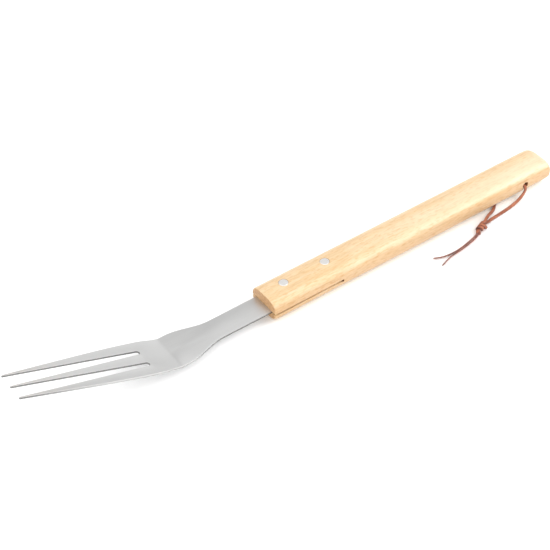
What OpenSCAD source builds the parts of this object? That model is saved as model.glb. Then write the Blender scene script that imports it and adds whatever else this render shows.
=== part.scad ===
// Three-tined barbecue fork. A stamped steel blade sits in a saw kerf in a one-piece
// wooden handle, held by two flush rivets, and a flat leather thong is tied through the butt.
//
// Frame: millimetres, +X towards the butt, the tines towards -X, +Z up. The handle and the
// blade's outline are symmetric about Y = 0. The fork lies on z = 0, with the origin under
// the middle of its length.
// The front of the handle touches the surface, and near the butt the handle rests on the
// strand of the thong that crosses under it, so the whole fork tilts up by a third of a degree.

/* [Handle] */
// length of the wooden handle
handle_l = 242.5; // [220:0.5:270]
// width across the sides
handle_w = 25.6; // [25:0.2:26.4]
// thickness from the underside to the crown
handle_t = 16.8; // [16.4:0.2:18]
// squareness of the section: 2 is an ellipse, higher is boxier
handle_square = 2.8; // [2:0.1:3]
// length over which the crown rounds down to the butt
crown_round = 12; // [12:1:18]
// length over which the underside rounds up to the butt
under_round = 12; // [4:1:12]
// radius of the butt's corners, seen from above
butt_corner = 4.5; // [2:0.5:8]
// rounding of the front rim at the crown and the sides
rim_r = 0.8; // [0.5:0.1:3]
// rounding of the front rim at the underside
under_rim_r = 3; // [3:0.5:6]
// diameter of the cross hole for the thong
hole_d = 4; // [3.6:0.1:4.4]
// distance from the middle of the cross hole to the butt
hole_from_butt = 26; // [21:0.5:28]

/* [Blade] */
// thickness of the steel sheet
sheet_t = 1.5; // [1:0.1:2]
// width of the tang and shank
shank_w = 17.4; // [14:0.2:19]
// distance from the handle to the middle of the bend
bend_x = 72.5; // [70:0.5:90]
// how far the head is bent up from the shank
head_angle = 20; // [10:1:30]
// inside radius of the bend
bend_r = 8; // [4:1:14]
// length of the head along the sheet, from the bend to the tine tips
head_l = 114.6; // [100:0.2:130]
// greatest width of the head
head_w = 31.6; // [28:0.2:36]
// width of the neck at the bend
neck_w = 29.2; // [24:0.2:30]
// distance from the bend to the roots of the slots, along the sheet
slot_root = 19.5; // [15:0.5:30]
// width of the slots at their roots
slot_w = 3.3; // [2:0.1:4]
// distance between the outer tines' tips
tip_spread = 21; // [17:0.2:24]
// width of a tine at its tip
tip_w = 1; // [0.8:0.1:2]

/* [Kerf and rivets] */
// how far the saw kerf runs on past the tang
kerf_run = 0.8; // [0.6:0.2:6]
// height of the saw kerf
kerf_t = 1.7; // [1.6:0.1:2.4]
// height of the blade's middle plane above the handle's axis
kerf_z = -0.5; // [-2:0.1:2]
// diameter of the rivets
rivet_d = 6.4; // [4:0.2:8]
// distance of the front rivet from the front of the handle
rivet_x = 17; // [12:0.5:20]
// distance between the rivets
rivet_pitch = 33.5; // [28:0.5:35]
// how far the rivets sit off the centre line, towards +Y
rivet_y = 1.8; // [0:0.2:2.4]

/* [Thong] */
// width of the leather strip
thong_w = 2.2; // [1.8:0.1:2.6]
// thickness of the leather strip
thong_t = 1; // [0.8:0.1:1.1]

/* [Hidden] */
$fn = 64;

wood = [0.93, 0.79, 0.57];
steel = [0.80, 0.80, 0.79];
aluminium = [0.84, 0.88, 0.90];
leather = [0.62, 0.32, 0.22];

section_steps = 56;                   // points round the handle's section
curve_steps = 10;                     // points along a quarter round or an S curve
butt_steps = 9;                       // rings along the butt
rim_steps = 6;                        // rings along the front rim
butt_square = 3;                      // squareness of the butt's rounding
past = 1;                             // how far a cutter runs past the face that it cuts
neck_x = 37.5;                        // where the shank starts to widen, ahead of the handle
neck_l = 29.5;                        // length of the widening
shoulder_start = 0.5;                 // where the head starts to widen, past the bend
shoulder_l = 16;                      // and where it reaches its full width
shoulder_end = 24;                    // where the head starts to taper towards the tips
taper_bow = 20;                       // how far on the taper's control point sits
slot_y = 5.85;                        // middle of a slot's root, from the centre line
tang_l = rivet_x + rivet_pitch + rivet_d / 2 + 1.2;
kerf_l = tang_l + kerf_run;
tang_corner = 3;                      // corner radius of the tang
hole_x = handle_l - hole_from_butt;

// The bend is an arc: its centre, and where it runs into the flat shank and the flat head.
bend_axis_z = kerf_z + sheet_t / 2 + bend_r;
bend_half = (bend_r + sheet_t / 2) * tan(head_angle / 2);
bend_end = bend_x - bend_half;
tip_x = bend_x + head_l * cos(head_angle);

// How the fork lies: its tilt, and the shift that centres it over the origin.
under_gap = 0.1;                      // slack between the handle and the strand under it
cross_x = hole_x - 15;                // where the strand crosses under the handle's middle
tilt = atan((thong_t + under_gap) / cross_x);
mid_x = (handle_l - tip_x) / 2;
butt_x = handle_l - mid_x;

// The thong's routes, as [distance from the cross hole, y, z]. Both strands start in the
// middle of the hole, leave it by their own mouth, and go through the knot to a bare tail.
near_route = [[0, 0, 9.3], [0, -6, 9.3], [-0.1, -10.8, 9.1], [-0.4, -13.6, 8.1],
              [-1.5, -14.5, 6.5], [-4.2, -15.3, 4.7], [-8.8, -16.2, 2.9], [-14.8, -17, 1.3],
              [-21.8, -17.8, 0.6], [-30.3, -18.4, 1], [-37.5, -18.9, 2.2], [-42.5, -20.9, 2.2]];
far_route = [[0, 0, 9.3], [0, 6, 9.3], [0, 10.8, 9.1], [-0.4, 13.6, 8.1], [-1.4, 14.6, 6.5],
             [-3.2, 14.4, 4.7], [-6.2, 12, 2.7], [-9, 8.4, 1.2], [-12, 4.2, 0.55], [-15, 0, 0.5],
             [-20, -5, 0.5], [-25, -9.4, 0.7], [-29.8, -13, 1.6], [-34.3, -15.4, 3],
             [-38.3, -16.9, 4], [-43.3, -18.9, 4]];
knot_route = [[-42.9, -19.9, 3.1], [-44.9, -20.7, 3.1], [-49.1, -22.2, 3.1],
              [-52.4, -23.7, 2.9], [-54.9, -24.7, 2.9]];
knot_sizes = [[4, 3.8], [5.4, 5.4], [6, 6], [5, 5], [3.6, 3.4]];
near_tail = [[-54.9, -24.7, 2.3], [-57.4, -25.7, 1.9], [-61.8, -26.6, 0.8], [-67.8, -27.8, 0.5],
             [-73.8, -29, 0.5], [-78.8, -29.7, 0.5], [-84.3, -29.5, 0.5], [-89.3, -28.3, 0.5],
             [-94.3, -25.8, 0.5]];
far_tail = [[-54.9, -24.7, 3.5], [-57.4, -25.7, 3.1], [-61.8, -26.6, 2], [-67.8, -27.8, 1.6],
            [-73.8, -29.1, 1.6], [-78.8, -30.1, 1.5], [-83.8, -31, 0.9], [-88.8, -32.4, 0.5],
            [-93.8, -34.1, 0.5]];

// ---- shapes ---------------------------------------------------------------------------

// Points of the handle's rounded section, from its width and its heights above and below.
function oval(w, crown, under) = [for (i = [0 : section_steps - 1])
    let (a = 360 * i / section_steps, c = cos(a), s = sin(a), e = 2 / handle_square)
    [w / 2 * sign(c) * pow(abs(c), e), (s > 0 ? crown : under) * sign(s) * pow(abs(s), e)]];

// A straight-line step from 0 to 1 with level ends.
function ease(t) = (1 - cos(180 * t)) / 2;

// An S curve from p to q, level at both ends.
function s_curve(p, q) = [for (i = [0 : curve_steps])
    let (t = i / curve_steps) [p.x + (q.x - p.x) * t, p.y + (q.y - p.y) * ease(t)]];

// A curve from p to q that leaves and arrives along the lines to its control point.
function bow(p, control, q) = [for (i = [0 : curve_steps])
    let (t = i / curve_steps) (1 - t) * (1 - t) * p + 2 * t * (1 - t) * control + t * t * q];

// A quarter of an ellipse about c, from angle a to angle a + 90.
function quarter(c, rx, ry, a) = [for (i = [0 : curve_steps])
    let (v = a + 90 * i / curve_steps) [c.x + rx * cos(v), c.y + ry * sin(v)]];

// The points of one side, followed by the same points mirrored in the centre line.
function both_sides(side) = concat(side, [for (i = [len(side) - 1 : -1 : 0])
    [side[i].x, -side[i].y]]);

// How much of its full size a rounded end keeps, from u = 0 at its start to 1 at its tip.
function rounded(u) = pow(max(1 - pow(max(u, 0), butt_square), 0), 1 / butt_square);

// How far a rim of radius r stands back from the full section, at x behind the front face.
function rim_inset(x, r) = x >= r ? 0 : r - sqrt(r * r - (r - x) * (r - x));

// Stands an outline drawn in XY on its side, in the plane of X and Z.
module upright(depth) rotate([90, 0, 0]) linear_extrude(depth, center = true) children();

// A rectangular frame at one point of a route: its middle, its wide axis and its thick axis.
function heading(route, i) = let (a = route[max(i - 1, 0)], b = route[min(i + 1, len(route) - 1)])
    (b - a) / norm(b - a);
function wide_axis(dir) = [dir.y, -dir.x, 0] / norm([dir.x, dir.y]);

// One ring of eight points round a route's point.
function ring(route, sizes, i) =
    let (dir = heading(route, i), wide = wide_axis(dir), thick = cross(wide, dir))
    [for (k = [0 : 7]) let (v = 22.5 + 45 * k, grow = 1 / cos(22.5))
        route[i] + wide * cos(v) * grow * sizes[i].x / 2 + thick * sin(v) * grow * sizes[i].y / 2];

// A closed eight-sided tube through the points of a route, with a size at each point.
module tube(route, sizes) {
    n = len(route);
    points = [for (i = [0 : n - 1]) each ring(route, sizes, i)];
    walls = [for (i = [0 : n - 2], k = [0 : 7]) let (a = 8 * i + k, b = 8 * i + (k + 1) % 8)
        each [[a, b, b + 8], [a, b + 8, a + 8]]];
    polyhedron(points, concat(walls, [[for (k = [7 : -1 : 0]) k]],
                              [[for (k = [0 : 7]) 8 * (n - 1) + k]]));
}

// A length of the leather strip.
module strip(route) color(leather) translate([butt_x - hole_from_butt, 0, 0])
    tube(route, [for (p = route) [thong_w, thong_t]]);

// Lays the fork down: its parts are drawn from the front of the handle, with the handle's
// axis along X at z = 0.
module laid() translate([-mid_x, 0, handle_t / 2]) rotate([0, -tilt, 0]) children();

// ---- handle ---------------------------------------------------------------------------

// Rings of the handle, as [x, width, height of the crown, depth of the underside], from the
// front face to the end of the butt.
handle_rings = concat(
    [for (i = [0 : rim_steps]) let (x = under_rim_r * (1 - cos(90 * i / rim_steps)))
        [x, handle_w - 2 * rim_inset(x, rim_r), handle_t / 2 - rim_inset(x, rim_r),
            handle_t / 2 - rim_inset(x, under_rim_r)]],
    [for (i = [0 : butt_steps]) let (left = crown_round * (1 - sin(87 * i / butt_steps)))
        [handle_l - left, handle_w * rounded(1 - left / butt_corner),
            handle_t / 2 * rounded(1 - left / crown_round),
            handle_t / 2 * rounded(1 - left / under_round)]]);

// The handle before the kerf and the holes are cut.
module handle_blank() {
    n = section_steps;
    last = len(handle_rings) - 1;
    points = [for (r = handle_rings) each [for (p = oval(r.y, r.z, r[3])) [r.x, p.x, p.y]]];
    walls = [for (i = [0 : last - 1], k = [0 : n - 1])
        let (a = n * i + k, b = n * i + (k + 1) % n) each [[a, b + n, b], [a, a + n, b + n]]];
    polyhedron(points, concat(walls, [[for (k = [0 : n - 1]) k]],
                              [[for (k = [n - 1 : -1 : 0]) n * last + k]]));
}

module handle() laid() color(wood) difference() {
    handle_blank();
    translate([-past, -handle_w, kerf_z - kerf_t / 2])
        cube([kerf_l + past, 2 * handle_w, kerf_t]);
    for (x = [rivet_x, rivet_x + rivet_pitch])
        translate([x, rivet_y, 0]) cylinder(d = rivet_d, h = 2 * handle_t, center = true);
    translate([hole_x, 0, 0]) rotate([90, 0, 0])
        cylinder(d = hole_d, h = 2 * handle_w, center = true);
}

// ---- blade ----------------------------------------------------------------------------

// Where a point of the head comes in plan, from its distance past the bend along the sheet.
function plan_x(along) = -bend_x - along * cos(head_angle);

// One face of the sheet seen from the side, at its distance from the centre of the bend.
function face(r) = concat([[tang_l, bend_axis_z - r]],
    [for (i = [0 : curve_steps]) let (v = -90 - head_angle * i / curve_steps)
        [-bend_end + r * cos(v), bend_axis_z + r * sin(v)]],
    [[-bend_end - r * sin(head_angle) - head_l * cos(head_angle),
      bend_axis_z - r * cos(head_angle) + head_l * sin(head_angle)]]);

// The sheet seen from the side: flat, bent up, and flat again.
module sheet_profile() {
    under = face(bend_r + sheet_t);
    polygon(concat(face(bend_r), [for (i = [len(under) - 1 : -1 : 0]) under[i]]));
}

// The blade seen from above, with the tines as one solid taper.
module blank_outline(tine_x, outer) polygon(both_sides(concat(
    quarter([tang_l - tang_corner, shank_w / 2 - tang_corner], tang_corner, tang_corner, 0),
    s_curve([-neck_x, shank_w / 2], [-neck_x - neck_l, neck_w / 2]),
    s_curve([plan_x(shoulder_start), neck_w / 2], [plan_x(shoulder_l), head_w / 2]),
    bow([plan_x(shoulder_end), head_w / 2], [plan_x(shoulder_end + taper_bow), head_w / 2],
        [tine_x, outer]))));

// The blade seen from above: tang, shank, neck, head and tines.
module blade_outline() {
    tine_x = plan_x(head_l) + tip_w / 2;
    inner = tip_spread / 2 - tip_w / 2;
    root_x = plan_x(slot_root) - slot_w / 2;
    difference() {
        blank_outline(tine_x, inner + tip_w);
        for (side = [-1, 1]) {
            translate([root_x, side * slot_y]) circle(d = slot_w);
            polygon([[root_x, side * (slot_y - slot_w / 2)], [root_x, side * (slot_y + slot_w / 2)],
                     [tine_x - past, side * inner], [tine_x - past, side * tip_w / 2]]);
        }
    }
    for (y = [-1, 0, 1]) translate([tine_x, y * tip_spread / 2]) circle(d = tip_w);
}

module fork_blade() laid() color(steel) difference() {
    intersection() {
        upright(2 * head_w) sheet_profile();
        linear_extrude(2 * head_l, center = true) blade_outline();
    }
    for (x = [rivet_x, rivet_x + rivet_pitch])
        translate([x, rivet_y, 0]) cylinder(d = rivet_d, h = handle_t, center = true);
}

// ---- rivets ---------------------------------------------------------------------------

// A rivet through the handle and the tang, dressed flush with the crown and the underside.
module rivet(x) laid() color(aluminium) intersection() {
    translate([x, rivet_y, 0]) cylinder(d = rivet_d, h = 2 * handle_t, center = true);
    rotate([90, 0, 90]) linear_extrude(handle_l) polygon(oval(handle_w, handle_t / 2, handle_t / 2));
}

module front_rivet() rivet(rivet_x);

module rear_rivet() rivet(rivet_x + rivet_pitch);

// ---- thong ----------------------------------------------------------------------------

module thong_near_strand() strip(near_route);

module thong_far_strand() strip(far_route);

module thong_near_tail() strip(near_tail);

module thong_far_tail() strip(far_tail);

// The overhand knot that holds both strands, as its outer shape.
module thong_knot() color(leather) translate([butt_x - hole_from_butt, 0, 0])
    tube(knot_route, knot_sizes);

handle();
fork_blade();
front_rivet();
rear_rivet();
thong_near_strand();
thong_far_strand();
thong_knot();
thong_near_tail();
thong_far_tail();
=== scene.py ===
import math

import bmesh
import bpy
from mathutils import Matrix, Vector, noise


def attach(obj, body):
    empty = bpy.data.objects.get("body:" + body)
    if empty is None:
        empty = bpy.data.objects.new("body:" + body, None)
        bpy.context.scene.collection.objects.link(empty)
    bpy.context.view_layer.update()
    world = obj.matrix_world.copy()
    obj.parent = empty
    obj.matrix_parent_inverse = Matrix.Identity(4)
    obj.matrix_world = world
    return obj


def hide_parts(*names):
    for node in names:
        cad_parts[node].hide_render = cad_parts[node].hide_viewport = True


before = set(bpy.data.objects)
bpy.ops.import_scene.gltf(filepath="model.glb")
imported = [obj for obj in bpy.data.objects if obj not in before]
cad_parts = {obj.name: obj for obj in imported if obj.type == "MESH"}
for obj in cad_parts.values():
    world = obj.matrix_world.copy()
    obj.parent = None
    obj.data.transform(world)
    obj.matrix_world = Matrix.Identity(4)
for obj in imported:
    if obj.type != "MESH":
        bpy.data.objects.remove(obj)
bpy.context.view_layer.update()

MM = 0.001

# ---- camera ------------------------------------------------------------------------------

AZIMUTH, ELEVATION, ROLL = math.radians(-36.183), math.radians(43.651), math.radians(0.08)
DISTANCE = 1.01435
TARGET = Vector((-0.00894, 0.01818, 0.0079))

back = Vector((math.sin(AZIMUTH) * math.cos(ELEVATION), -math.cos(AZIMUTH) * math.cos(ELEVATION),
               math.sin(ELEVATION)))
right = Vector((math.cos(AZIMUTH), math.sin(AZIMUTH), 0))
axes = Matrix((right, back.cross(right), back)).transposed() @ Matrix.Rotation(ROLL, 3, "Z")
camera = bpy.data.objects.new("camera", bpy.data.cameras.new("camera"))
camera.data.sensor_fit = "HORIZONTAL"
camera.data.sensor_width = 36
camera.data.lens = 100.94
camera.data.clip_start, camera.data.clip_end = 0.05, 20
camera.matrix_world = Matrix.Translation(TARGET + back * DISTANCE) @ axes.to_4x4()
bpy.context.scene.collection.objects.link(camera)
bpy.context.scene.camera = camera

# ---- sizes, in millimetres ---------------------------------------------------------------

HANDLE_L, HANDLE_W, HANDLE_T = 242.5, 25.6, 16.8
HANDLE_SQUARE = 2.8                  # 2 would be an ellipse
RIM_R, UNDER_RIM_R = 0.8, 3          # rounding of the front face
CROWN_ROUND, UNDER_ROUND, BUTT_CORNER, BUTT_SQUARE = 12, 12, 4.5, 3
HOLE_X, HOLE_R = 216.5, 2.0          # cross hole for the thong
SHEET_T, SHANK_W, NECK_W, HEAD_W = 1.5, 17.4, 29.2, 31.6
BEND_X, BEND_R, HEAD_ANGLE = 72.5, 8, math.radians(20)
HEAD_L = 114.6
NECK_X, NECK_L = 37.5, 29.5
SHOULDER_START, SHOULDER_L, SHOULDER_END, TAPER_BOW = 0.5, 16, 24, 20
SLOT_ROOT, SLOT_W, SLOT_Y = 19.5, 3.3, 5.85
TIP_SPREAD, TIP_W = 21, 1.0
KERF_T, KERF_Z = 1.7, -0.5
RIVET_R, RIVET_XS, RIVET_Y = 3.2, (17, 50.5), 1.8
TANG_L, TANG_CORNER, KERF_L = 54.9, 3, 55.7
THONG_W, THONG_T = 2.2, 1.0

STRAND_X, STRAND_TOP = 201.5, 1.1    # where the strand under the butt holds it up, and how far
TILT = math.atan(STRAND_TOP / STRAND_X)
MID_X = (HANDLE_L - BEND_X - HEAD_L * math.cos(HEAD_ANGLE)) / 2


def laid(x, y, z):
    """The row frame's place for a point drawn from the handle's front, with its axis at z = 0."""
    return Vector((x * math.cos(TILT) - z * math.sin(TILT) - MID_X, y,
                   x * math.sin(TILT) + z * math.cos(TILT) + HANDLE_T / 2)) * MM


HOLE = laid(HOLE_X, 0, 0) / MM


# ---- mesh helpers ------------------------------------------------------------------------

def put(name, data):
    """A new object in the scene."""
    o = bpy.data.objects.new(name, data)
    bpy.context.scene.collection.objects.link(o)
    return o


def piece(name, bm, material, sharp, replaces):
    """A finished mesh as a piece of the fork, smooth but for edges sharper than that angle."""
    mesh = bpy.data.meshes.new(name)
    bm.normal_update()
    bm.to_mesh(mesh)
    bm.free()
    mesh.materials.append(material)
    for p in mesh.polygons:
        p.use_smooth = True
    mesh.set_sharp_from_angle(angle=math.radians(sharp))
    o = put(name, mesh)
    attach(o, "root")
    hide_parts(*replaces)
    return o


def round_angles(n):
    """That many equal turns, in radians."""
    return [2 * math.pi * k / n for k in range(n)]


def add_loops(bm, loops, closed_ends=True):
    """Joins rings of points, all with the same number of them, into a tube."""
    rings = [[bm.verts.new(p) for p in loop] for loop in loops]
    n = len(rings[0])
    for a, b in zip(rings, rings[1:]):
        for k in range(n):
            bm.faces.new((a[k], a[(k + 1) % n], b[(k + 1) % n], b[k]))
    if closed_ends:
        bm.faces.new(rings[0][::-1])
        bm.faces.new(rings[-1])
    return rings


def spline(keys, step):
    """Points about a step apart on a smooth curve through keys: points and what they carry."""

    def between(a, b, ta, tb, u):
        return [(tb - u) / (tb - ta) * x + (u - ta) / (tb - ta) * y for x, y in zip(a, b)]

    keys = [list(k) for k in keys]
    first = [2 * a - b for a, b in zip(keys[0], keys[1])]
    last = [2 * a - b for a, b in zip(keys[-1], keys[-2])]
    ks = [first] + keys + [last]
    out = []
    for i in range(1, len(ks) - 2):
        p = ks[i - 1:i + 3]
        t = [0.0]
        for a, b in zip(p, p[1:]):
            t.append(t[-1] + max(math.dist(a[:3], b[:3]), 1e-6) ** 0.5)
        count = max(2, round(math.dist(p[1][:3], p[2][:3]) / step))
        for j in range(count):
            u = t[1] + (t[2] - t[1]) * j / count
            a1, a2, a3 = (between(p[k], p[k + 1], t[k], t[k + 1], u) for k in range(3))
            b1, b2 = between(a1, a2, t[0], t[2], u), between(a2, a3, t[1], t[3], u)
            out.append(between(b1, b2, t[1], t[2], u))
    out.append(keys[-1])
    return out


# ---- material helpers --------------------------------------------------------------------

class Nodes:
    """A material's nodes, made one at a time."""

    def __init__(self, name):
        self.material = bpy.data.materials.new(name)
        self.material.use_nodes = True
        self.tree = self.material.node_tree
        self.shader = next(n for n in self.tree.nodes if n.type == "BSDF_PRINCIPLED")

    def new(self, kind, values=(), **settings):
        node = self.tree.nodes.new("ShaderNode" + kind)
        for k, v in settings.items():
            setattr(node, k, v)
        for k, v in dict(values).items():
            if hasattr(v, "is_output"):
                self.tree.links.new(v, node.inputs[k])
            else:
                node.inputs[k].default_value = v
        return node

    def set(self, **values):
        """Values or links for the shader's own sockets, with _ for a space in their names."""
        for k, v in values.items():
            socket = self.shader.inputs[k.replace("_", " ")]
            if hasattr(v, "is_output"):
                self.tree.links.new(v, socket)
            else:
                socket.default_value = v

    def place(self, scale, turn=(0, 0, 0), warp=None):
        """Object coordinates in metres, scaled by that many features to the metre."""
        at = self.new("TexCoord").outputs["Object"]
        if warp is not None:
            at = self.new("VectorMath", {0: at, 1: warp}, operation="ADD").outputs[0]
        return self.new("Mapping", {"Vector": at, "Rotation": turn, "Scale": scale}).outputs[0]

    def noise(self, scale, detail=3, rough=0.5, turn=(0, 0, 0), warp=None, colour=False):
        node = self.new("TexNoise", {"Vector": self.place(scale, turn, warp), "Scale": 1.0,
                                     "Detail": detail, "Roughness": rough})
        return node.outputs["Color" if colour else "Fac"]

    def ramp(self, fac, stops):
        """A colour ramp; a stop's single number is a grey."""
        node = self.new("ValToRGB", {"Fac": fac})
        e = node.color_ramp.elements
        while len(e) < len(stops):
            e.new(0.5)
        for el, (at, colour) in zip(e, stops):
            el.position = at
            el.color = (*colour, 1) if hasattr(colour, "__len__") else (colour, colour, colour, 1)
        return node.outputs["Color"]

    def math(self, op, a, b=0.0):
        return self.new("Math", {0: a, 1: b}, operation=op).outputs[0]

    def mix(self, fac, a, b, blend="MIX"):
        node = self.tree.nodes.new("ShaderNodeMix")
        node.data_type = "RGBA"
        node.blend_type = blend
        for socket, v in ((node.inputs[0], fac), (node.inputs[6], a), (node.inputs[7], b)):
            if hasattr(v, "is_output"):
                self.tree.links.new(v, socket)
            else:
                socket.default_value = (*v, 1) if hasattr(v, "__len__") else v
        return node.outputs[2]

    def range(self, value, a, b, c=0.0, d=1.0):
        """Takes a..b to c..d, and holds at both ends."""
        node = self.new("MapRange", {"Value": value, "From Min": a, "From Max": b,
                                     "To Min": c, "To Max": d})
        return node.outputs[0]

    def bump(self, height, distance, strength):
        values = {"Height": height, "Distance": distance, "Strength": strength}
        return self.new("Bump", values).outputs[0]

    def normal(self):
        """The surface's direction, split into X, Y and Z."""
        return self.new("SeparateXYZ", {0: self.new("NewGeometry").outputs["Normal"]})

    def xyz(self):
        """Object coordinates in metres, split into X, Y and Z."""
        return self.new("SeparateXYZ", {0: self.new("TexCoord").outputs["Object"]})


# ---- materials ---------------------------------------------------------------------------

def wood(name, cut=None):
    """Pale close-grained hardwood under a thin clear finish, with its grain along X.

    For a cut surface, the second argument says how far painted shade browns it all over.
    At 0 it keeps the finish, above 0 it has none.
    """
    m = Nodes(name)
    drift = m.noise((9, 40, 40), 2, colour=True)
    drift = m.new("VectorMath", {0: drift, 1: (0.5, 0.5, 0.5)}, operation="SUBTRACT").outputs[0]
    warp = m.new("VectorMath", {0: drift, 1: (0.0, 0.004, 0.004)}, operation="MULTIPLY").outputs[0]
    turn = (0, math.radians(0.6), math.radians(1.3))
    broad = m.noise((7, 85, 70), 2, 0.5, turn, warp)
    rings = m.noise((16, 380, 300), 3, 0.6, turn, warp)
    figure = m.noise((45, 150, 120), 3, 0.55, (0, 0, math.radians(9)), warp)
    fine = m.noise((45, 1500, 1300), 3, 0.6, turn, warp)
    pores = m.noise((150, 3400, 2900), 2, 0.5, turn, warp)
    tone = m.math("ADD", m.math("MULTIPLY", broad, 0.4), m.math("MULTIPLY", rings, 0.3))
    tone = m.math("ADD", tone, m.math("MULTIPLY", figure, 0.3))
    colour = m.ramp(tone, [(0.36, (0.67, 0.445, 0.225)), (0.47, (0.715, 0.51, 0.285)),
                           (0.55, (0.74, 0.545, 0.33)), (0.68, (0.765, 0.59, 0.385))])
    colour = m.mix(1.0, colour, m.ramp(fine, [(0.3, 0.84), (0.5, 0.97), (0.7, 1.0)]), "MULTIPLY")
    colour = m.mix(m.range(pores, 0.62, 0.76, 0, 0.35), colour, (0.45, 0.26, 0.12))
    flecks = m.noise((210, 1000, 850), 2, 0.55, turn, warp)
    colour = m.mix(m.range(flecks, 0.50, 0.68, 0, 0.72), colour, (0.58, 0.345, 0.14))
    facing = m.normal()
    # end grain at the front: darker and rougher than the sides
    end = m.range(facing.outputs["X"], -0.75, -0.97)
    rays = m.noise((300, 420, 900), 4, 0.65)
    end_colour = m.ramp(rays, [(0.35, (0.37, 0.185, 0.07)), (0.55, (0.51, 0.285, 0.115)),
                               (0.7, (0.60, 0.37, 0.18))])
    colour = m.mix(end, colour, end_colour)
    # painted shade browns the sides, a painted highlight pales the crown towards the butt, both
    # matched to the photograph
    side = m.range(m.math("ABSOLUTE", facing.outputs["Z"]), 0.86, 0.40)
    brown = m.math("MULTIPLY", side, m.range(end, 1, 0))
    colour = m.mix(brown, colour, (0.80, 0.71, 0.60), "MULTIPLY")
    at = m.xyz()
    # painted highlight, on the near half of the crown only
    painted_crown_highlight = m.math("MULTIPLY", m.range(at.outputs["X"], 0.03, 0.19, 0, 0.40),
                  m.range(at.outputs["Y"], 0.007, -0.003))
    painted_crown_highlight = m.math("MULTIPLY", painted_crown_highlight, m.range(side, 0.6, 0))
    colour = m.mix(painted_crown_highlight, colour, (0.80, 0.70, 0.55))
    if cut is not None:
        # painted shade, dark brown: in the kerf only where it stops, in a drilled hole all over
        kerf_end_shade = m.range(at.outputs["X"], 0.0225, 0.0245)
        colour = m.mix(m.math("MAXIMUM", kerf_end_shade, cut), colour, (0.20, 0.080, 0.030))
    m.set(Base_Color=colour, Specular_IOR_Level=0.45, Coat_Weight=0.0 if cut else 0.7,
          Coat_Roughness=0.46)
    rough = m.range(fine, 0.3, 0.7, 0.50, 0.40)
    rough = m.math("ADD", rough, m.math("MULTIPLY", end, 0.2))
    m.set(Roughness=rough)
    grooves = m.math("SUBTRACT", fine, m.range(pores, 0.58, 0.74, 0, 0.8))
    m.set(Normal=m.bump(grooves, 0.00005, 0.5))
    return m.material


def steel(name):
    """Satin stainless sheet, brushed along X, with painted shade darkening its sheared edges."""
    m = Nodes(name)
    facing = m.normal()
    face = m.range(m.math("ABSOLUTE", facing.outputs["Z"]), 0.55, 0.85)
    scratch = m.noise((45, 2600, 900), 3, 0.65)
    haze = m.noise((22, 30, 30), 3, 0.55)
    colour = m.ramp(haze, [(0.3, (0.61, 0.61, 0.605)), (0.7, (0.635, 0.635, 0.63))])
    colour = m.mix(1.0, colour, m.ramp(scratch, [(0.35, 0.965), (0.65, 1.0)]), "MULTIPLY")
    # painted shade: the edges' dark colour stands in for the dark surroundings they reflect
    painted_edge_shade = m.ramp(m.noise((900, 260, 900), 3, 0.6), [(0.35, (0.16, 0.16, 0.158)),
                                                     (0.7, (0.27, 0.268, 0.262))])
    # two tones matched to the photograph: a painted highlight on the head's outer edges, and tinted
    # points
    at = m.xyz()
    outer = m.range(m.math("ABSOLUTE", at.outputs["Y"]), 0.0115, 0.0148)
    painted_edge_shade = m.mix(outer, painted_edge_shade, (0.50, 0.50, 0.495))
    colour = m.mix(m.range(at.outputs["X"], -0.165, -0.212, 0, 0.55), colour, (0.60, 0.565, 0.53))
    colour = m.mix(face, painted_edge_shade, colour)
    rough = m.math("ADD", m.range(scratch, 0.3, 0.7, 0.36, 0.43),
                   m.range(haze, 0.3, 0.7, -0.02, 0.03))
    m.set(Base_Color=colour, Metallic=1.0, Roughness=rough, Anisotropic=0.35)
    m.set(Normal=m.bump(scratch, 0.00002, 0.35))
    return m.material


def rivet_metal(name):
    """Bright aluminium with fine crossed sanding marks."""
    m = Nodes(name)
    marks = m.noise((700, 5200, 900), 3, 0.6, (0, 0, math.radians(24)))
    cross = m.noise((4200, 600, 900), 3, 0.6, (0, 0, math.radians(-12)))
    both = m.math("MULTIPLY", m.math("ADD", marks, cross), 0.5)
    colour = m.ramp(both, [(0.35, (0.80, 0.785, 0.76)), (0.65, (0.90, 0.885, 0.865))])
    m.set(Base_Color=colour, Metallic=1.0, Roughness=m.range(both, 0.3, 0.7, 0.42, 0.30),
          Normal=m.bump(both, 0.00003, 0.4))
    return m.material


def leather(name, dark, middle, light):
    """Reddish-brown leather: cloudy, with darker fibres and a fine pebbled relief."""
    m = Nodes(name)
    pebbles = m.new("TexVoronoi", {"Vector": m.place((1, 1, 1)), "Scale": 2600.0}, feature="F1")
    grain = pebbles.outputs["Distance"]
    cloud = m.noise((160, 160, 160), 4, 0.6)
    fibres = m.noise((900, 900, 900), 3, 0.6)
    colour = m.ramp(cloud, [(0.3, dark), (0.5, middle), (0.7, light)])
    colour = m.mix(m.range(fibres, 0.45, 0.75, 0, 0.45), colour, tuple(0.7 * v for v in dark))
    m.set(Base_Color=colour, Roughness=m.range(cloud, 0.3, 0.7, 0.62, 0.50),
          Specular_IOR_Level=0.35, Sheen_Weight=0.18, Sheen_Roughness=0.5)
    relief = m.math("ADD", m.math("MULTIPLY", grain, 0.6), m.math("MULTIPLY", fibres, 0.5))
    m.set(Normal=m.bump(relief, 0.00008, 0.55))
    return m.material


WOOD, SAWN_WOOD = wood("pale_wood"), wood("sawn_wood", 0.0)
DRILLED_WOOD = wood("drilled_wood", 0.8)
STEEL, RIVET = steel("satin_steel"), rivet_metal("dressed_aluminium")
LEATHER = leather("lace_leather", dark=(0.20, 0.052, 0.022), middle=(0.33, 0.098, 0.044),
                  light=(0.43, 0.142, 0.068))
CUT_LEATHER = leather("lace_edge", dark=(0.115, 0.042, 0.030), middle=(0.19, 0.068, 0.050),
                      light=(0.26, 0.100, 0.072))

# ---- thong -------------------------------------------------------------------------------

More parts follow.
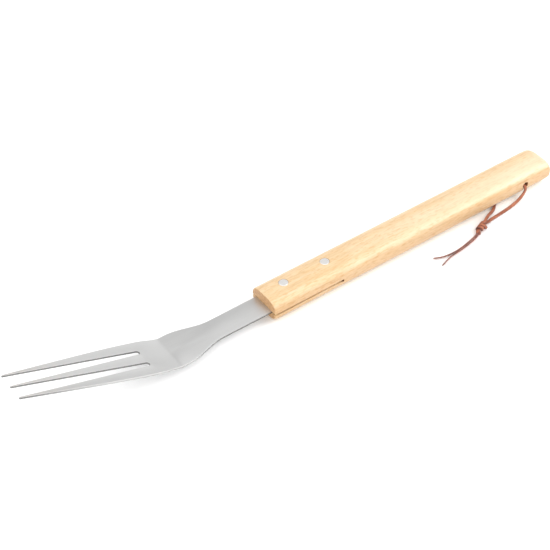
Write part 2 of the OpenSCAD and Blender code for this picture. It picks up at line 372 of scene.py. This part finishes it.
# Each point of a route is [x from the cross hole, y, z] and the way that the strip's face looks
# there. A route starts in the middle of the hole, leaves by its own mouth, goes through the knot
# and ends in a bare tail.
UP = (0, 0, 1)
ALONG, ACROSS = Vector((-5, -2, 0)).normalized(), Vector((2, -5, 0)).normalized()   # knot's axes
KNOT = Vector((-48.9, -22.3, 3.1))
LEAN = (-0.324, 0.811, 0.484)        # face of a tail that lies on its edge


def in_knot(along, across, up, *facing):
    """A point and a facing, both given along, across and above the knot."""
    face = ALONG * facing[0] + ACROSS * facing[1] + Vector((0, 0, facing[2]))
    return (*(KNOT + ALONG * along + ACROSS * across + Vector((0, 0, up))), *face)


NEAR_STRAND = [(0, 0, 9.2, *UP), (-0.1, -6, 9.1, *UP), (-0.4, -11.4, 9.0, *UP),
               (-0.7, -13.5, 8.3, 0, -0.7, 0.7), (-1.3, -14.3, 6.7, 0.2, -1, 0.3),
               (-3.0, -14.9, 5.1, 0.35, -0.9, 0.5),
               (-6.7, -15.8, 3.5, 0.35, -0.7, 0.7), (-11.8, -16.7, 2.2, 0.1, -0.6, 0.8),
               (-17.8, -17.4, 1.4, 0, -0.5, 0.85), (-24.8, -18.1, 1.2, 0, -0.5, 0.85),
               (-30.8, -18.7, 1.3, 0, -0.5, 0.85), (-36.8, -19.4, 1.6, 0, -0.4, 0.9),
               (-40.6, -20.3, 2.0, 0, -0.2, 1)]
NEAR_KNOT = [(-5.2, 0.4, -0.6, 0, -0.1, 1), (-2.8, 0.1, -0.4, 0, 0, 1), (0, 0, -0.3, 0, 0, 1),
             (2.8, 0, -0.2, 0, 0, 1), (4.9, -0.2, -0.4, 0, 0.2, 1)]
NEAR_TAIL = [(-54.9, -24.6, 1.5, *LEAN), (-57.4, -25.7, 1.6, *LEAN), (-61.8, -26.9, 1.6, *LEAN),
             (-67.8, -28.2, 1.55, *LEAN), (-73.8, -29.2, 1.5, *LEAN), (-78.8, -29.5, 1.4, *LEAN),
             (-84.3, -29.2, 1.3, -0.15, 0.87, 0.45), (-89.3, -27.9, 1.1, 0.1, 0.75, 0.7),
             (-94.3, -25.5, 0.95, 0.2, 0.65, 0.75)]
FAR_STRAND = [(0, 0, 9.2, *UP), (0.1, 6, 9.1, *UP), (0, 11.4, 9.0, *UP),
              (-0.4, 13.5, 8.2, 0, 0.7, 0.7), (-1.4, 14.2, 6.2, 0, 1, 0.2),
              (-3.4, 14, 4.4, -0.1, 1, -0.2), (-6.2, 11.9, 2.6, 0, 0.7, -0.7),
              (-9, 8.3, 1.1, 0, 0.2, -1), (-12, 4.2, 0.55, 0, 0, -1), (-15, 0, 0.5, 0, 0, -1),
              (-20, -5.2, 0.5, 0, 0, -1), (-25, -9.4, 0.75, 0, 0, -1),
              (-29.8, -13.1, 1.7, 0.1, 0.1, -1), (-34.3, -15.5, 3.1, 0.2, 0.3, -1),
              (-38.3, -17.3, 4.0, 0.1, 0.3, -1),
              (-41.4, -18.9, 4.3, 0, 0.1, -1)]


BIGHT_AT, BIGHT_WIDTH = 6.4, 1.1     # in eighths of a turn
BIGHT_OUT, BIGHT_DROP = 0.75, 0.8


def coil(start, pitch, turns, across, up):
    """The far strand wound round the near one, with one bight pulled out wider on the -Y side."""
    points = []
    for k in range(int(turns * 8) + 1):
        v = math.radians(45 * k)
        bight = BIGHT_OUT * math.exp(-((k - BIGHT_AT) / BIGHT_WIDTH) ** 2)
        points.append((start + pitch * k / 8, -across * (1 + bight) * math.sin(v),
                       up * math.cos(v) - BIGHT_DROP * bight, 0, -math.sin(v), math.cos(v)))
    return points


FAR_KNOT = [(-5.4, 0.1, 1.5, 0, 0, -1),
            *coil(start=-3.4, pitch=2.8, turns=2.5, across=2.0, up=1.65),
            (5.1, 1.2, -2.1, 0, -0.3, 0.95)]
FAR_TAIL = [(-55.1, -25.8, 1.25, *LEAN), (-57.6, -26.9, 1.2, *LEAN), (-62.0, -28.1, 1.15, *LEAN),
            (-68.0, -29.3, 1.1, *LEAN), (-74.0, -30.3, 1.1, *LEAN), (-79, -30.7, 1.15, *LEAN),
            (-83.8, -31.3, 1.1, -0.37, 0.78, 0.5), (-88.8, -32.7, 1.1, -0.37, 0.78, 0.5),
            (-93.8, -34.4, 1.1, -0.37, 0.78, 0.5)]


STRIP_CORNER = 0.34                  # of the thickness
CUT_SIDES = (7, 8, 9, 10, 11, 17, 18, 19, 0, 1)    # faces of the section on its two narrow sides
ROUTE_STEP = 0.45
WORN_L, WORN_TO, WORN_BY = 32, 0.78, 0.22      # a strip thins over its last stretch, to 0.78 of it
BROAD_L, BROAD_FADE = 44, 8          # the broader strand ends this far along, over that length
RAGGED, RAGGED_PER_MM = 0.05, 0.35


def section(width, thick):
    """A strip's rounded cross section, as [across, through]."""
    corner = STRIP_CORNER * thick
    points = []
    for quarter in range(4):
        cx = (width / 2 - corner) * (1 if quarter in (0, 3) else -1)
        cz = (thick / 2 - corner) * (1 if quarter in (0, 1) else -1)
        for k in range(5):
            v = math.radians(90 * quarter + 22.5 * k)
            points.append((cx + corner * math.cos(v), cz + corner * math.sin(v)))
    return points


def lace(name, keys, nodes, broad=1.0):
    """One half of the thong, that much broader up to its knot: its mesh, and its line in metres."""
    facing = Vector(keys[0][3:])
    fixed = []
    for k in keys:
        n = Vector(k[3:]).normalized()
        n = -n if n.dot(facing) < 0 else n
        facing = n
        fixed.append((*(HOLE * Vector((1, 0, 0)) + Vector(k[:3])), *n))
    line = spline(fixed, ROUTE_STEP)
    points = [Vector(p[:3]) for p in line]
    long = sum((b - a).length for a, b in zip(points, points[1:]))
    loops, gone = [], 0.0
    for i, p in enumerate(line):
        along = (points[min(i + 1, len(points) - 1)] - points[max(i - 1, 0)]).normalized()
        face = Vector(p[3:])
        face = (face - along * face.dot(along)).normalized()
        across = along.cross(face)
        if i:
            gone += (points[i] - points[i - 1]).length
        left = long - gone
        thin = WORN_TO + WORN_BY * min(1, left / WORN_L)
        cut_w = thin * (1 + (broad - 1) * max(0, min(1, (BROAD_L - gone) / BROAD_FADE)))
        ragged = 1 + RAGGED * noise.noise(Vector((gone * RAGGED_PER_MM, len(name), 0)))
        point = min(1.0, 0.5 + left / 1.2)      # narrows to half at the very end
        loops.append([(points[i] + across * (u * point) + face * v) * MM
                      for u, v in section(THONG_W * cut_w * ragged, THONG_T * thin)])
    bm = bmesh.new()
    add_loops(bm, loops)
    bmesh.ops.recalc_face_normals(bm, faces=bm.faces)
    for k, f in enumerate(bm.faces):
        f.material_index = int(k % len(loops[0]) in CUT_SIDES or k >= len(bm.faces) - 2)
    o = piece(name, bm, LEATHER, sharp=50, replaces=nodes)
    o.data.materials.append(CUT_LEATHER)
    return o, [p * MM for p in points]


near_lace, near_line = lace(
    "near_lace", NEAR_STRAND + [in_knot(*k) for k in NEAR_KNOT] + NEAR_TAIL,
    ("thong_near_strand", "thong_near_tail"))
far_lace, far_line = lace(
    "far_lace", FAR_STRAND + [in_knot(*k) for k in FAR_KNOT] + FAR_TAIL,
    ("thong_far_strand", "thong_far_tail", "thong_knot"), broad=1.17)

# ---- handle ------------------------------------------------------------------------------

ROUND = 128                          # points round the handle
RIM_RINGS, BUTT_RINGS = 12, 24
GRIP_STEP, GRIP_GAP = 5, 4           # between the grip's rings, and the least to the butt's
BUTT_SWEEP = 89                      # degrees: stops just short of closing


def oval(w, crown, under):
    """The handle's section, [y, z], with its own half height above and below."""
    points = []
    e = 2 / HANDLE_SQUARE
    for a in round_angles(ROUND):
        c, s = math.cos(a), math.sin(a)
        points.append((w / 2 * math.copysign(abs(c) ** e, c),
                       (crown if s > 0 else under) * math.copysign(abs(s) ** e, s)))
    return points


def rounded(u):
    """How much of the full size is left, that fraction of the way into the butt's rounding."""
    return max(1 - max(u, 0) ** BUTT_SQUARE, 0) ** (1 / BUTT_SQUARE)


def rim(x, r):
    """How far a rounded edge of that radius draws in, at x from the front face."""
    return 0 if x >= r else r - math.sqrt(r * r - (r - x) ** 2)


def crown_z(y):
    """Height of the handle's crown above its axis."""
    return HANDLE_T / 2 * (1 - abs(2 * y / HANDLE_W) ** HANDLE_SQUARE) ** (1 / HANDLE_SQUARE)


def handle_bmesh():
    """The whole handle before it is cut: rounded front rim, straight grip and rounded butt."""
    half = HANDLE_T / 2
    rings = []
    for i in range(RIM_RINGS + 1):
        x = UNDER_RIM_R * (1 - math.cos(math.pi / 2 * i / RIM_RINGS))
        rings.append((x, HANDLE_W - 2 * rim(x, RIM_R), half - rim(x, RIM_R),
                      half - rim(x, UNDER_RIM_R)))
    x = UNDER_RIM_R + GRIP_STEP
    while x < HANDLE_L - CROWN_ROUND - GRIP_GAP:
        rings.append((x, HANDLE_W, half, half))
        x += GRIP_STEP
    for i in range(BUTT_RINGS + 1):
        left = CROWN_ROUND * (1 - math.sin(math.radians(BUTT_SWEEP * i / BUTT_RINGS)))
        rings.append((HANDLE_L - left, HANDLE_W * rounded(1 - left / BUTT_CORNER),
                      half * rounded(1 - left / CROWN_ROUND),
                      half * rounded(1 - left / UNDER_ROUND)))
    bm = bmesh.new()
    add_loops(bm, [[laid(r[0], y, z) for y, z in oval(*r[1:])] for r in rings])
    bmesh.ops.recalc_face_normals(bm, faces=bm.faces)
    return bm


def plain(name, bm, material):
    """A cutter: a mesh that shows only as the surface which it leaves."""
    mesh = bpy.data.meshes.new(name)
    bmesh.ops.recalc_face_normals(bm, faces=bm.faces)
    bm.to_mesh(mesh)
    bm.free()
    mesh.materials.append(material)
    return put(name, mesh)


RIVET_FLARE, HOLE_FLARE, KERF_FLARE = 0.12, 0.5, 0.25      # how far their mouths are eased
HOLE_SINK = 0.05                     # the cross hole's easing starts this far below the surface


def eased(half, size, flare, steps, past):
    """A cut's profile, [distance from the middle, size], opened by flare where it comes out."""
    profile = [(-half - past, size + flare)]
    for side in (-1, 1):
        for k in range(steps + 1):
            v = math.pi / 2 * (k / steps if side > 0 else 1 - k / steps)
            profile.append((side * (half - flare + flare * math.sin(v)),
                            size + flare * (1 - math.cos(v))))
    return profile + [(half + past, size + flare)]


def drill(x, y, r, half, flare, upright):
    """A round cutter through the handle, opening by flare where it meets the surface at half."""
    loops = []
    for u, radius in eased(half, r, flare, steps=6, past=3):
        ring = [(radius * math.cos(a), radius * math.sin(a)) for a in round_angles(64)]
        loops.append([laid(x + c, y + s, u) if upright else laid(x + c, u, s) for c, s in ring])
    bm = bmesh.new()
    add_loops(bm, loops)
    return plain("drill", bm, DRILLED_WOOD)


def kerf_cutter():
    """The saw kerf, a little wider where it comes out at the sides."""
    past = 2
    upper = eased(HANDLE_W / 2, KERF_T / 2, KERF_FLARE, steps=4, past=past)
    outline = upper + [(y, -z) for y, z in upper[::-1]]
    bm = bmesh.new()
    add_loops(bm, [[laid(x, y, KERF_Z + z) for y, z in outline] for x in (-past, KERF_L)])
    return plain("saw", bm, SAWN_WOOD)


def carve(o, cutters):
    """Takes the cutters out of the object, and lends each cut face its cutter's material."""
    for c in cutters:
        mod = o.modifiers.new("cut", "BOOLEAN")
        mod.operation, mod.solver, mod.object = "DIFFERENCE", "EXACT", c
        mod.material_mode = "TRANSFER"
    mesh = bpy.data.meshes.new_from_object(o.evaluated_get(bpy.context.evaluated_depsgraph_get()))
    o.modifiers.clear()
    o.data = mesh
    for c in cutters:
        bpy.data.objects.remove(c)


handle = piece("turned_handle", handle_bmesh(), WOOD, sharp=35, replaces=("handle",))
rivet_mouth = crown_z(RIVET_Y + RIVET_R)
carve(handle, [kerf_cutter(),
               *(drill(x, RIVET_Y, RIVET_R, rivet_mouth, RIVET_FLARE, True) for x in RIVET_XS),
               drill(HOLE_X, 0, HOLE_R, HANDLE_W / 2 - HOLE_SINK, HOLE_FLARE, False)])
for p in handle.data.polygons:       # the cuts' own edges have to be sharp too
    p.use_smooth = True
handle.data.set_sharp_from_angle(angle=math.radians(28))

# ---- rivets ------------------------------------------------------------------------------

RIVET_EASE, RIVET_EASE_W = 3.0, 0.2  # the end is rounded off outside this radius
RIVET_RADII = [0.02, 0.6, 1.2, 1.8, 2.4, 2.8, RIVET_EASE, RIVET_R - 0.08, RIVET_R - 0.02]
RIVET_DOME, RIVET_DROP = 0.05, 0.14


def rivet(name, at, node):
    """A rod through the handle, dressed down to the curve of the wood at both ends."""
    loops = []
    for side in (1, -1):
        ends = []
        for r in RIVET_RADII:
            proud = RIVET_DOME * (1 - (r / RIVET_R) ** 2)
            proud -= RIVET_DROP * max(0, (r - RIVET_EASE) / RIVET_EASE_W) ** 2
            ring = [(r * math.cos(a), r * math.sin(a)) for a in round_angles(64)]
            ends.append([laid(at + c, RIVET_Y + s, side * (crown_z(RIVET_Y + s) + proud))
                         for c, s in ring])
        loops += ends if side > 0 else ends[::-1]
    bm = bmesh.new()
    add_loops(bm, loops)
    bmesh.ops.recalc_face_normals(bm, faces=bm.faces)
    return piece(name, bm, RIVET, sharp=40, replaces=(node,))


rivet("front_rivet_head", RIVET_XS[0], "front_rivet")
rivet("rear_rivet_head", RIVET_XS[1], "rear_rivet")

# ---- blade -------------------------------------------------------------------------------

EDGE_R = 0.28                        # how far the sheet's edges are rounded
MID_R = BEND_R + SHEET_T / 2
BEND_HALF = MID_R * math.tan(HEAD_ANGLE / 2)
FLAT_END = BEND_X - BEND_HALF        # where the arc starts, ahead of the handle
ARC = MID_R * HEAD_ANGLE
BEND_CUTS = 24


def s_curve(p, q, n=16):
    """A half cosine wave from p to q."""
    return [(p[0] + (q[0] - p[0]) * i / n,
             p[1] + (q[1] - p[1]) * (1 - math.cos(math.pi * i / n)) / 2) for i in range(n + 1)]


def arc(cx, cy, r, a, b, n):
    """Points on a circle from a to b degrees."""
    turns = [math.radians(a + (b - a) * i / n) for i in range(n + 1)]
    return [(cx + r * math.cos(v), cy + r * math.sin(v)) for v in turns]


def blank():
    """The flat sheet's outline from tang to tips and back, [distance ahead of the handle, y]."""
    head = BEND_X - 2 * BEND_HALF + ARC          # the bend's corner, measured along the sheet
    tip = head + HEAD_L - TIP_W / 2
    inner = TIP_SPREAD / 2 - TIP_W / 2
    outer = inner + TIP_W
    root = head + SLOT_ROOT + SLOT_W / 2
    half = [(-TANG_L + TANG_CORNER - TANG_CORNER * math.cos(math.radians(a)),
             SHANK_W / 2 - TANG_CORNER + TANG_CORNER * math.sin(math.radians(a)))
            for a in range(0, 91, 9)]
    half += s_curve((NECK_X, SHANK_W / 2), (NECK_X + NECK_L, NECK_W / 2))
    half += s_curve((head + SHOULDER_START, NECK_W / 2), (head + SHOULDER_L, HEAD_W / 2))
    # the head's side starts straight ahead and curves in to the outer tip
    p, c = (head + SHOULDER_END, HEAD_W / 2), (head + SHOULDER_END + TAPER_BOW, HEAD_W / 2)
    q = (tip, outer)
    half += [tuple((1 - t) ** 2 * a + 2 * t * (1 - t) * b + t * t * d for a, b, d in zip(p, c, q))
             for t in (i / 24 for i in range(25))]
    half += arc(tip, TIP_SPREAD / 2, TIP_W / 2, 90, -90, 14)[1:]
    half += [(root, SLOT_Y + SLOT_W / 2)]
    half += arc(root, SLOT_Y, SLOT_W / 2, 90, 270, 24)[1:]
    half += arc(tip, 0, TIP_W / 2, 90, 0, 7)
    return half + [(x, -y) for x, y in half[-2::-1]]


def inset(loop, d):
    """The outline moved inwards by d; it runs with its inside on its right."""
    out = []
    n = len(loop)
    for i, p in enumerate(loop):
        a, b = loop[i - 1], loop[(i + 1) % n]
        e1, e2 = Vector((p[0] - a[0], p[1] - a[1])), Vector((b[0] - p[0], b[1] - p[1]))
        if e1.length < 1e-9 or e2.length < 1e-9:
            e1 = e2 = Vector((b[0] - a[0], b[1] - a[1]))
        n1, n2 = (Vector((e.y, -e.x)).normalized() for e in (e1, e2))
        m = n1 + n2
        m = m / max(m.length_squared / 2, 0.5)
        out.append((p[0] + m.x * d, p[1] + m.y * d))
    return out


def folded(u, y, h):
    """Where a point of the flat sheet comes once bent: u ahead of the handle, h above mid-sheet."""
    cx, cz = FLAT_END, KERF_Z + MID_R
    if u <= FLAT_END:
        x, z = u, KERF_Z + h
    else:
        v = min(u - FLAT_END, ARC) / MID_R
        x, z = cx + (MID_R - h) * math.sin(v), cz - (MID_R - h) * math.cos(v)
        past = max(u - FLAT_END - ARC, 0)
        x, z = x + past * math.cos(HEAD_ANGLE), z + past * math.sin(HEAD_ANGLE)
    return laid(-x, y, z)


def blade():
    """The stamped sheet with rounded edges and rivet holes, bent where the head turns up."""
    t, outline = SHEET_T / 2, blank()
    levels = [(EDGE_R * (1 - math.sin(v)), t - EDGE_R * (1 - math.cos(v)))
              for v in map(math.radians, (0, 22.5, 45, 67.5, 90))]
    levels += [(d, -h) for d, h in levels[::-1]]
    holes = [[(-x + RIVET_R * math.cos(a), RIVET_Y + RIVET_R * math.sin(a))
              for a in round_angles(48)] for x in RIVET_XS]
    bm = bmesh.new()
    rings = add_loops(bm, [[(u, y, h) for u, y in inset(outline, d)] for d, h in levels],
                      closed_ends=False)
    walls = [add_loops(bm, [[(u, y, h) for u, y in hole] for h in (t, -t)], closed_ends=False)
             for hole in holes]
    for end in (0, -1):
        loops = [rings[end]] + [w[end] for w in walls]
        edges = [bm.edges.get((ring[k], ring[(k + 1) % len(ring)]))
                 for ring in loops for k in range(len(ring))]
        bmesh.ops.triangle_fill(bm, use_beauty=True, use_dissolve=False, edges=edges)
    for i in range(BEND_CUTS + 1):
        u = FLAT_END + ARC * i / BEND_CUTS
        bmesh.ops.bisect_plane(bm, geom=bm.verts[:] + bm.edges[:] + bm.faces[:], dist=1e-5,
                               plane_co=(u, 0, 0), plane_no=(1, 0, 0))
    bmesh.ops.recalc_face_normals(bm, faces=bm.faces)
    for v in bm.verts:
        v.co = folded(*v.co)
    bmesh.ops.recalc_face_normals(bm, faces=bm.faces)
    return piece("stamped_blade", bm, STEEL, sharp=12, replaces=("fork_blade",))


blade()

# ---- stage and light ---------------------------------------------------------------------

def floor():
    """White paper under the fork."""
    bm = bmesh.new()
    bmesh.ops.create_grid(bm, x_segments=8, y_segments=8, size=4)
    mesh = bpy.data.meshes.new("floor")
    bm.to_mesh(mesh)
    bm.free()
    o = put("floor", mesh)
    m = Nodes("floor_paper")
    m.set(Base_Color=m.ramp(m.noise((30, 30, 30), 2), [(0.3, 0.955), (0.7, 0.965)]), Roughness=0.9,
          Specular_IOR_Level=0.1)
    mesh.materials.append(m.material)


def softbox(name, place, aim, size, power):
    """A square lamp at a place, turned to its aim."""
    data = bpy.data.lights.new(name, "AREA")
    data.shape, data.size, data.energy = "SQUARE", size, power
    o = put(name, data)
    o.location = place
    o.rotation_euler = (Vector(aim) - Vector(place)).to_track_quat("-Z", "Y").to_euler()


def sky():
    """A white room, brightest low down, which the steel mirrors."""
    world = bpy.data.worlds.new("studio")
    bpy.context.scene.world = world
    world.use_nodes = True
    tree = world.node_tree
    shade = next(n for n in tree.nodes if n.type == "BACKGROUND")
    coords = tree.nodes.new("ShaderNodeTexCoord")
    split = tree.nodes.new("ShaderNodeSeparateXYZ")
    ramp = tree.nodes.new("ShaderNodeValToRGB")
    tree.links.new(coords.outputs["Generated"], split.inputs[0])
    tree.links.new(split.outputs["Z"], ramp.inputs["Fac"])
    e = ramp.color_ramp.elements
    e.new(0.5)
    for el, (at, v) in zip(e, ((0.1, 1.36), (0.55, 0.70), (0.95, 0.72))):
        el.position = at
        el.color = (v, v, v, 1)
    shade.inputs["Strength"].default_value = 1.05
    # the room is a little dimmer in front of the fork
    front = tree.nodes.new("ShaderNodeMapRange")
    for k, v in (("From Min", -0.8), ("From Max", 0.1), ("To Min", 0.95), ("To Max", 1.0)):
        front.inputs[k].default_value = v
    tree.links.new(split.outputs["Y"], front.inputs["Value"])
    dim = tree.nodes.new("ShaderNodeVectorMath")
    dim.operation = "SCALE"
    tree.links.new(ramp.outputs["Color"], dim.inputs[0])
    tree.links.new(front.outputs[0], dim.inputs["Scale"])
    tree.links.new(dim.outputs[0], shade.inputs["Color"])


def daylight(name, towards, strength, spread):
    """Even light from a patch of sky that many degrees wide."""
    data = bpy.data.lights.new(name, "SUN")
    data.energy, data.angle = strength, math.radians(spread)
    put(name, data).rotation_euler = Vector(towards).to_track_quat("Z", "Y").to_euler()


floor()
daylight("fill", towards=(-0.40, -0.40, 0.82), strength=1.9, spread=135)
softbox("key", place=(0.78, -0.50, 0.80), aim=(0.14, 0, 0), size=0.62, power=4.6)
sky()
bpy.context.scene.view_settings.view_transform = "Standard"
